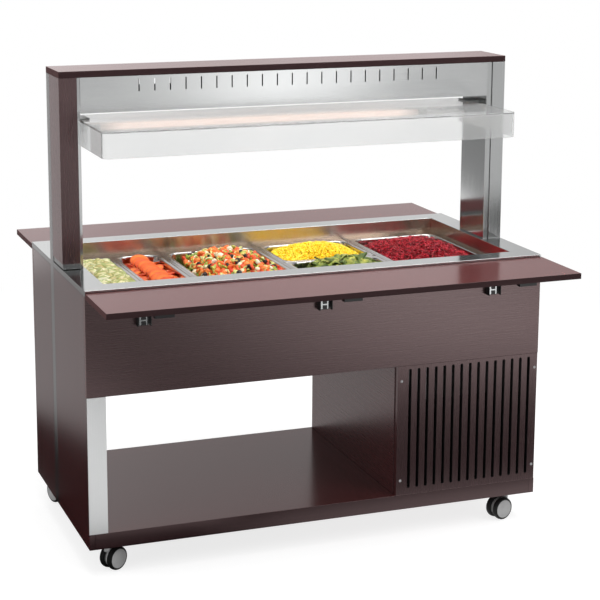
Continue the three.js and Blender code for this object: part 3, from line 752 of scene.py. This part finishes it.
GREEN_SKIN = ((0.0, (1, 1, 1)), (0.93, (1, 1, 0.95)), (0.97, (0.8, 0.86, 0.6)), (1.0, (0.5, 0.58, 0.3)))
CUCUMBER = food_paint("cucumber_flesh", (
    (0.2, (0.66, 0.58, 0.26)), (0.5, (0.84, 0.78, 0.46)), (0.8, (0.95, 0.92, 0.70))), 0.25, GREEN_SKIN)
TOMATO = food_paint("tomato_flesh", (
    (0.2, (0.80, 0.10, 0.010)), (0.5, (0.92, 0.17, 0.018)), (0.85, (0.97, 0.26, 0.035))), 0.3,
    ((0.0, (1, 1, 1)), (0.7, (0.97, 0.92, 0.9)), (0.93, (0.9, 0.6, 0.5)), (1.0, (0.62, 0.25, 0.25))))
TOMATO_DICE = food_paint("tomato_dice", (
    (0.15, (0.72, 0.045, 0.012)), (0.5, (0.90, 0.15, 0.03)), (0.85, (0.95, 0.32, 0.06))), 0.22)
OLIVE = food_paint("black_olive", (
    (0.2, (0.008, 0.006, 0.008)), (0.8, (0.022, 0.016, 0.02))), 0.2, None, 0.0)
FETA = food_paint("white_cheese", ((0.2, (0.86, 0.76, 0.48)), (0.8, (0.93, 0.90, 0.74))), 0.5)
HERB = food_paint("green_pepper", (
    (0.2, (0.22, 0.34, 0.03)), (0.5, (0.50, 0.55, 0.09)), (0.8, (0.78, 0.74, 0.30))), 0.3)
CORN = food_paint("sweetcorn", (
    (0.2, (0.95, 0.58, 0.008)), (0.5, (0.98, 0.70, 0.016)), (0.8, (1.0, 0.80, 0.06))), 0.22)
LEAF = food_paint("salad_leaf", (
    (0.15, (0.06, 0.10, 0.012)), (0.5, (0.17, 0.23, 0.03)), (0.85, (0.45, 0.45, 0.10))), 0.32,
    ((0.0, (1.6, 1.5, 1.2)), (0.12, (1, 1, 1)), (1.0, (0.8, 0.9, 0.8))), 0.05)
BEETROOT = food_paint("beetroot_shred", (
    (0.15, (0.11, 0.002, 0.005)), (0.5, (0.42, 0.008, 0.020)), (0.85, (0.72, 0.035, 0.065))), 0.24)


def cucumber_pan(centre, half_x, half_y):
    body = "cucumber_pan"
    filling("cucumber_bed", centre, half_x, half_y, CUCUMBER, body, edge=-0.014, top=-0.006)
    heap = Heap(seed=11)
    slices = [wedge(0.019, 0.003), wedge(0.017, 0.003), wedge(0.021, 0.003)]
    rows, columns = 34, 8
    for i in range(rows):
        for j in range(columns):
            u = (j + 0.5 + heap.random.uniform(-0.3, 0.3)) / columns * 2 - 1
            v = (i + 0.5 + heap.random.uniform(-0.3, 0.3)) / rows * 2 - 1
            z = PAN_RIM + crown(u, v, edge=-0.008, top=0.006) + heap.random.uniform(-0.003, 0.003)
            turn = Matrix.Rotation(heap.random.uniform(-0.5, 0.5), 3, "Z") @ \
                Matrix.Rotation(0.45 + heap.random.uniform(-0.25, 0.25), 3, "X") @ \
                Matrix.Rotation(heap.random.uniform(-0.3, 0.3), 3, "Y") @ \
                Matrix.Rotation(heap.random.uniform(-1.2, 1.2), 3, "Z")
            shape = slices[heap.random.randint(0, 3)]
            heap.drop(shape, (centre.x + 0.80 * half_x * u, centre.y + 0.93 * half_y * v, z), turn)
    heap.make("cucumber_slices", CUCUMBER, body)


def tomato_pan(centre, half_x, half_y):
    body = "tomato_pan"
    filling("tomato_bed", centre, half_x, half_y, TOMATO, body, edge=-0.024, top=-0.018)
    heap = Heap(seed=12)
    # loose slices below, and a row of whole ones leaning on each other along the pan
    for u, v in scattered(heap, count=120):
        z = PAN_RIM - 0.018 + heap.random.uniform(-0.002, 0.003)
        shape = wedge(0.02, 0.006) if heap.random.rand() < 0.6 else disc(0.02, 0.005, 14)
        place = (centre.x + 0.78 * half_x * u, centre.y + 0.92 * half_y * v, z)
        heap.drop(shape, place, heap.turn(tilt=0.35))
    count = 15
    for i in range(count):
        v = (i + 0.5) / count * 2 - 1
        turn = Matrix.Rotation(heap.random.uniform(-0.12, 0.12), 3, "Z") @ \
            Matrix.Rotation(0.42 + heap.random.uniform(-0.08, 0.08), 3, "X")
        x = centre.x + heap.random.uniform(-0.004, 0.004)
        place = (x, centre.y + 0.88 * half_y * v, PAN_RIM - 0.009)
        heap.drop(disc(0.031 + heap.random.uniform(-0.002, 0.002), 0.0075, 24), place, turn)
    heap.make("tomato_slices", TOMATO, body)


def mixed_salad_pan(centre, half_x, half_y):
    body = "mixed_salad_pan"
    filling("mixed_salad_bed", centre, half_x, half_y, HERB, body,
            edge=-0.03, top=0.022, rough=0.005, corner=1.1)
    dice = (lump(0.020, 2.8), wedge(0.018, 0.010), lump(0.014, 3.5))
    olives = (ring(0.0075, 0.0052), lump(0.018, 2.2))
    cheese = (lump(0.018, 7.0), lump(0.013, 6.0))
    peppers = (wedge(0.014, 0.004), ring(0.010, 0.0025), leaf(0.030, 0.016, 0.2))
    # seed, name, paint, shapes, how many, and how far they lie above the heap
    plan = (
        (21, "tomato_dice", TOMATO_DICE, dice, 380, 0.0),
        (22, "black_olives", OLIVE, olives, 34, 0.006),
        (23, "cheese_cubes", FETA, cheese, 85, 0.002),
        (24, "pepper_pieces", HERB, peppers, 210, 0.004),
    )
    for seed, name, paint, shapes, count, lift in plan:
        heap = Heap(seed)
        for u, v in scattered(heap, count):
            if v - u > 1.45:  # the far left corner is left empty
                continue
            z = PAN_RIM + crown(u, v, edge=-0.022, top=0.036) + lift + heap.random.uniform(-0.005, 0.006)
            shape = shapes[heap.random.randint(0, len(shapes))]
            scale = heap.random.uniform(0.75, 1.2, 3)
            place = (centre.x + 0.9 * half_x * u, centre.y + 0.93 * half_y * v, z)
            heap.drop(shape, place, heap.turn(tilt=1.2), scale)
        heap.make(name, paint, body)


def corn_pan(centre, half_x, half_y):
    body = "corn_pan"
    filling("corn_bed", centre, half_x, half_y, CORN, body, edge=-0.022, top=0.014, corner=1.3)
    heap, grain = Heap(seed=31), kernel()
    for u, v in scattered(heap, count=1500, reach=0.985):
        if v - u > 1.6:
            continue
        z = PAN_RIM + crown(u, v, edge=-0.018, top=0.020) + heap.random.uniform(-0.002, 0.003)
        place = (centre.x + 0.955 * half_x * u, centre.y + 0.95 * half_y * v, z)
        heap.drop(grain, place, heap.turn(tilt=1.4), heap.random.uniform(0.8, 1.15, 3))
    heap.make("corn_kernels", CORN, body)


def leaf_salad_pan(centre, half_x, half_y):
    body = "leaf_salad_pan"
    filling("leaf_bed", centre, half_x, half_y, LEAF, body, edge=-0.03, top=-0.002, rough=0.006)
    heap = Heap(seed=41)
    # length, width and curl
    sizes = ((0.075, 0.042, 0.22), (0.06, 0.03, 0.3), (0.085, 0.036, 0.12), (0.04, 0.026, 0.35))
    leaves = [leaf(*size) for size in sizes]
    for u, v in scattered(heap, count=170, reach=0.9):
        z = PAN_RIM + crown(u, v, edge=-0.02, top=0.016, power=2.0) + heap.random.uniform(-0.004, 0.008)
        shape = leaves[heap.random.randint(0, len(leaves))]
        place = (centre.x + 0.8 * half_x * u, centre.y + 0.8 * half_y * v, z)
        heap.drop(shape, place, heap.turn(tilt=0.8), heap.random.uniform(0.8, 1.15, 3))
    piece = heap.make("salad_leaves", LEAF, body)
    blade = piece.modifiers.new("blade", "SOLIDIFY")
    blade.thickness = 0.0006


def beetroot_pan(centre, half_x, half_y):
    body = "beetroot_pan"
    filling("beetroot_bed", centre, half_x, half_y, BEETROOT, body, edge=-0.028, top=0.018, rough=0.004)
    heap = Heap(seed=51)
    shreds = [shred(0.03, 0.0034, bend) for bend in (-0.25, -0.1, 0.12, 0.28)] + [shred(0.02, 0.003, 0.2)]
    for u, v in scattered(heap, count=2600, reach=0.985):
        z = PAN_RIM + crown(u, v, edge=-0.022, top=0.028) + heap.random.uniform(-0.003, 0.004)
        shape = shreds[heap.random.randint(0, len(shreds))]
        place = (centre.x + 0.94 * half_x * u, centre.y + 0.96 * half_y * v, z)
        heap.drop(shape, place, heap.turn(tilt=0.5), heap.random.uniform(0.8, 1.2, 3))
    heap.make("beetroot_shreds", BEETROOT, body)


FILL = {
    "cucumber": cucumber_pan, "tomato": tomato_pan, "mixed_salad": mixed_salad_pan,
    "corn": corn_pan, "leaf_salad": leaf_salad_pan, "beetroot": beetroot_pan,
}
for kind, fill in FILL.items():
    fill(*pressed_pan(kind))


# ---------- castors ----------
JOINTS = {joint["name"]: joint for joint in frame["joints"]}
NEAR, FAR = 0.0065, 0.0255  # a wheel's inner and outer faces, from the middle of the castor


def two_tone(piece, second, segments, chosen):
    """Give the faces of the chosen profile segments a second material."""
    piece.data.materials.append(second)
    for polygon, segment in zip(piece.data.polygons, segments):
        polygon.material_index = 1 if segment in chosen else 0


def castor(corner):
    """Two wheels with grey covers, the housing between them, and the swivel cap below the base board."""
    swivel, roll = JOINTS[f"swivel_{corner}_turn"], JOINTS[f"wheels_{corner}_roll"]
    turned = Matrix.Rotation(math.atan2(-roll["axis"][0], roll["axis"][1]), 4, "Z")
    stand = Matrix.Translation((*swivel["pos_m"][:2], 0)) @ turned
    hub = Matrix.Translation(roll["pos_m"]) @ turned @ Matrix.Rotation(-math.pi / 2, 4, "X")
    radius = roll["pos_m"][2]  # the wheels stand on the floor
    tyre = (
        (0.0305, FAR - 0.0002), (0.0312, FAR), (0.0335, FAR - 0.0004), (0.0358, FAR - 0.0022),
        (0.0370, FAR - 0.0052), (radius, FAR - 0.0095), (0.0370, NEAR + 0.0052), (0.0358, NEAR + 0.0022),
        (0.0335, NEAR + 0.0004), (0.0300, NEAR),
    )
    cover = (
        (0.0302, FAR - 0.0006), (0.0300, FAR + 0.0002), (0.0292, FAR + 0.0007), (0.0275, FAR + 0.0004),
        (0.0262, FAR + 0.0006), (0.015, FAR + 0.0011), (0.004, FAR + 0.0012), (0.0004, FAR + 0.0012),
    )
    inner = ((0.0302, NEAR), (0.0285, NEAR + 0.001), (0.012, NEAR + 0.0012), (0.0060, NEAR + 0.0002))
    for side, label in ((1, "outer"), (-1, "inner")):
        flip = hub @ Matrix.Diagonal((1, 1, side, 1))
        profile = tuple(reversed(cover)) + tyre + inner + ((0.0058, 0.0061),)
        vertices, faces, segments = lathe(profile, sides=48)
        if side < 0:
            faces = [face[::-1] for face in faces]
        piece = mesh_piece(
            f"castor_{corner}_wheel_{label}", placed(vertices, flip), faces, TYRE, f"wheels_{corner}",
            (f"castor_wheels_{corner}",))
        covered = set(range(len(cover) - 1)) | set(range(len(cover) + len(tyre), len(profile) - 1))
        two_tone(piece, GREY_PLASTIC, segments, covered)
    housing = (
        (0.0004, -0.0058), (0.026, -0.0058), (0.0278, -0.0052), (0.0282, -0.004), (0.0282, 0.004),
        (0.0278, 0.0052), (0.026, 0.0058), (0.0004, 0.0058),
    )
    vertices, faces, _ = lathe(housing, sides=48)
    mesh_piece(f"castor_{corner}_housing", placed(vertices, hub), faces, GREY_PLASTIC, f"swivel_{corner}",
               (f"castor_fork_{corner}",))
    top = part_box(f"castor_fork_{corner}")[1].z
    cap = (
        (0.0004, top), (0.0185, top), (0.0205, top - 0.001), (0.021, top - 0.003), (0.021, top - 0.007),
        (0.019, top - 0.010), (0.014, top - 0.0135), (0.0105, top - 0.021), (0.0098, top - 0.034),
        (0.0004, top - 0.036),
    )
    vertices, faces, _ = lathe(cap, sides=32)
    mesh_piece(f"castor_{corner}_cap", placed(vertices, stand), faces, GREY_PLASTIC, f"swivel_{corner}")


for corner in ("front_left", "front_right", "rear_left", "rear_right"):
    castor(corner)


# ---------- screws ----------
def screw(name, place, out):
    """A pan-head screw with a cross slot, facing out along Y."""
    radius, height, slot_depth, sides = 0.0045, 0.0016, 0.0009, 24
    profile = ((radius, 0.0), (radius, 0.0004), (radius * 0.86, 0.0011), (radius * 0.5, height))
    vertices, faces, _ = lathe(profile, sides)
    faces = [face for face in faces if len(face) == 4]
    rim = (len(profile) - 1) * sides  # the first point of the ring round the slot
    arm, half = radius * 0.42, radius * 0.11
    cross = [(arm, half), (half, half), (half, arm), (-half, arm), (-half, half), (-arm, half),
             (-arm, -half), (-half, -half), (-half, -arm), (half, -arm), (half, -half), (arm, -half)]
    upper, corners = len(vertices), len(cross)
    vertices += [(x, y, height) for x, y in cross]
    vertices += [(x, y, height - slot_depth) for x, y in cross]
    faces.append(tuple(range(upper + corners, upper + 2 * corners)))
    for i in range(corners):
        j = (i + 1) % corners
        faces.append((upper + i, upper + corners + i, upper + corners + j, upper + j))
    share = sides // corners
    for k in range(corners):
        edge = [rim + (k * share + m) % sides for m in range(share + 1)]
        faces.append(tuple(edge + [upper + (k + 1) % corners, upper + k]))
    turn = Matrix.Rotation(-out * math.pi / 2, 4, "X")
    mesh_piece(name, placed(vertices, Matrix.Translation(place) @ turn), faces, ZINC, smooth=False)


for i, (x, z) in enumerate(((0.268, 0.525), (0.739, 0.526), (0.268, 0.195), (0.739, 0.196))):
    screw(f"front_grille_screw_{i + 1}", (x, -GRILLE_FACE, z), -1)
    screw(f"rear_grille_screw_{i + 1}", (x, GRILLE_FACE, z), 1)


# ---------- floor, world and lights ----------
# brightness of the room in front of the bar, by the sine of its azimuth
FRONT_SHEET = (
    (0.0, 0.8), (0.5, 0.6), (0.61, 0.48), (0.63, 0.7), (0.65, 1.05), (0.662, 1.4), (0.694, 1.4), (0.704, 1.0),
    (0.714, 0.45), (0.725, 0.32), (0.74, 0.6), (0.76, 0.6),
)
# and behind it, by the same sine and by the height
BACK_ACROSS = (
    (0.0, 0.15), (0.31, 0.15), (0.37, 0.85), (0.5, 0.95), (0.6, 1.3), (0.63, 1.06), (0.66, 0.98),
    (0.715, 1.04), (0.735, 0.8),
)
BACK_UP = ((0.10, 0.85), (0.16, 0.74), (0.24, 0.66), (0.31, 0.50), (0.5, 0.6), (0.8, 0.8))


def mirrored_floor(tree, place):
    """The floor as metal and gloss see it: dim beside the bar, brighter to the front right and far off."""
    x, y, _ = tree.add("SeparateXYZ", {0: place}).outputs
    across = tree.span(x, -1.2, 3.0, 0, 1)
    beside = tree.ramp(across, *grey((0.21, 1.05), (0.26, 0.08), (0.5, 0.06), (0.8, 0.2)))
    near = tree.ramp(across, *grey(
        (0.2, 0.02), (0.235, 0.0), (0.31, 0.03), (0.4, 0.25), (0.49, 0.5), (0.64, 0.95), (0.8, 1.38),
        (0.85, 1.25), (0.9, 0.04)))
    near = tree.blend(1.0, near, (2.4, 2.4, 2.4), "MULTIPLY")
    left = tree.span(x, -0.32, -0.22, 1, 0)
    beside = tree.blend(left, beside, tree.span(y, -2.2, -0.8, 1.5, 0.72))
    stile = tree.add("Math", {0: left, 1: tree.span(y, -2.6, -2.3, 0, 1)}, operation="MULTIPLY")
    close = tree.add("Math", {0: tree.span(y, -2.4, -1.8, 0, 1), 1: stile.outputs[0]}, operation="MAXIMUM")
    near = tree.blend(close.outputs[0], near, beside)
    under = tree.ramp(across, *grey((0.2, 0.0), (0.29, 0.55), (0.42, 0.8), (0.5, 0.9)))
    near = tree.blend(tree.span(y, -0.78, -0.66, 0, 1), near, under)
    near = tree.blend(tree.span(y, 0.36, 0.4, 0, 1), near, (0.6, 0.6, 0.6))
    # beside and behind its left end: dark close by, then bright, then dim further round
    edge = tree.add("VectorMath", {0: place, 1: (1, -0.37, 0)}, operation="DOT_PRODUCT").outputs["Value"]
    aside = tree.ramp(tree.span(edge, -1.49, -1.40, 0, 1), *grey((0.0, 0.45), (1.0, 0.02)))
    bearing = tree.add("VectorMath", {0: place, 1: (1, 0.222, 0)}, operation="DOT_PRODUCT").outputs["Value"]
    further = tree.ramp(tree.span(bearing, -0.78, -0.6, 0, 1), *grey((0.0, 0.27), (0.5, 0.8), (1.0, 1.35)))
    aside = tree.blend(tree.span(y, 3.6, 4.2, 0, 1), aside, further)
    near = tree.blend(tree.span(x, -0.79, -0.77, 0, 1), aside, near)
    length = tree.add("VectorMath", {0: place}, operation="LENGTH").outputs["Value"]
    sine = tree.add("Math", {0: x, 1: length}, operation="DIVIDE").outputs[0]
    far = tree.ramp(tree.span(sine, -1, 1, 0, 1), *grey(*FRONT_SHEET))
    nearer = tree.ramp(tree.span(y, -11, -5, 0, 1), *grey((0.1, 1.0), (0.3, 1.6), (0.8, 1.6), (1.0, 1.3)))
    far = tree.blend(tree.span(sine, 0.3, 0.4, 1, 0), far, tree.blend(1.0, far, nearer, "MULTIPLY"))
    return tree.blend(tree.span(y, -4.7, -5.3, 0, 1), near, far)


def make_floor():
    mesh = bpy.data.meshes.new("floor")
    half = 60
    mesh.from_pydata(
        [(-half, -half, 0), (half, -half, 0), (half, half, 0), (-half, half, 0)], [], [(0, 1, 2, 3)])
    floor = bpy.data.objects.new("floor", mesh)
    collection.objects.link(floor)
    made = bpy.data.materials.new("floor")
    made.use_nodes = True
    tree = Tree(made.node_tree)
    made.node_tree.nodes.clear()
    place = tree.add("TexCoord").outputs["Object"]
    distance = tree.add("VectorMath", {0: place}, operation="LENGTH").outputs["Value"]
    path = tree.add("LightPath").outputs
    lit = tree.add("BsdfDiffuse", {"Color": (0.4, 0.4, 0.4, 1)}).outputs[0]
    lift = tree.add("Emission", {"Color": (1, 1, 1, 1), "Strength": 0.78}).outputs[0]
    near = tree.add("AddShader", {0: lit, 1: lift}).outputs[0]
    far = tree.add("Emission", {"Color": (1, 1, 1, 1), "Strength": 1.0}).outputs[0]
    reach = tree.span(distance, 1.2, 3.4, 0.0, 1.0)
    seen = tree.add("MixShader", {0: reach, 1: near, 2: far}).outputs[0]
    mirrored = tree.add("Emission", {"Color": mirrored_floor(tree, place), "Strength": 1.0}).outputs[0]
    plain = tree.add("BsdfDiffuse", {"Color": (0.55, 0.55, 0.55, 1)}).outputs[0]
    other = tree.add("MixShader", {0: path["Is Glossy Ray"], 1: plain, 2: mirrored}).outputs[0]
    shown = tree.add("Math", {0: path["Is Camera Ray"], 1: path["Is Transmission Ray"]}, operation="MAXIMUM")
    both = tree.add("MixShader", {0: shown.outputs[0], 1: other, 2: seen}).outputs[0]
    tree.add("OutputMaterial", {"Surface": both})
    floor.data.materials.append(made)


def make_world():
    world = bpy.data.worlds.new("studio")
    bpy.context.scene.world = world
    world.use_nodes = True
    tree = Tree(world.node_tree)
    world.node_tree.nodes.clear()
    path = tree.add("LightPath").outputs
    direction = tree.add("TexCoord").outputs["Generated"]
    parts = tree.add("SeparateXYZ", {0: direction}).outputs
    across = tree.span(parts[0], -1, 1, 0, 1)
    # what metal and gloss see: a bright sheet ahead at eye level, and a pale sweep behind
    front = tree.blend(1.0, tree.ramp(across, *grey(*FRONT_SHEET)), tree.ramp(parts[2], *grey(
        (0.05, 1.0), (0.12, 0.2), (0.26, 0.2), (0.5, 0.4), (0.8, 1.0))), "MULTIPLY")
    back = tree.blend(
        1.0, tree.ramp(across, *grey(*BACK_ACROSS)), tree.ramp(parts[2], *grey(*BACK_UP)), "MULTIPLY")
    mirrored = tree.blend(tree.span(parts[1], -0.05, 0.05, 0, 1), front, back)
    seen = tree.add("Math", {0: path["Is Camera Ray"], 1: path["Is Transmission Ray"]}, operation="MAXIMUM")
    colour = tree.blend(path["Is Glossy Ray"], (0.52, 0.52, 0.52), mirrored)
    colour = tree.blend(seen.outputs[0], colour, (1, 1, 1))
    background = tree.add("Background", {"Color": colour, "Strength": 1.0}).outputs[0]
    tree.add("OutputWorld", {"Surface": background})


def area_light(name, place, target, size, power, colour=(1, 1, 1), shown=True):
    data = bpy.data.lights.new(name, "AREA")
    data.shape = "RECTANGLE"
    data.size, data.size_y = size
    data.energy = power
    data.color = colour
    lamp = bpy.data.objects.new(name, data)
    collection.objects.link(lamp)
    lamp.location = place
    lamp.visible_glossy = lamp.visible_transmission = shown
    lamp.rotation_euler = (Vector(target) - Vector(place)).to_track_quat("-Z", "Y").to_euler()


make_floor()
make_world()
# name, place, what it points at, size and power
area_light("softbox_top", (0.3, -0.6, 4.2), (0, 0, 0.8), (4.0, 2.6), 150)
area_light("softbox_right", (2.8, -3.2, 3.6), (0.3, 0, 0.7), (2.4, 2.0), 50)
area_light("softbox_left", (-4.2, -2.2, 2.4), (0, 0, 1.0), (2.0, 2.4), 25)
area_light("canopy_glow", (0, -0.02, 1.34), (0, -0.02, 0), (1.1, 0.16), 3.0, (1.0, 0.93, 0.86), False)

bpy.context.scene.view_settings.view_transform = "Standard"
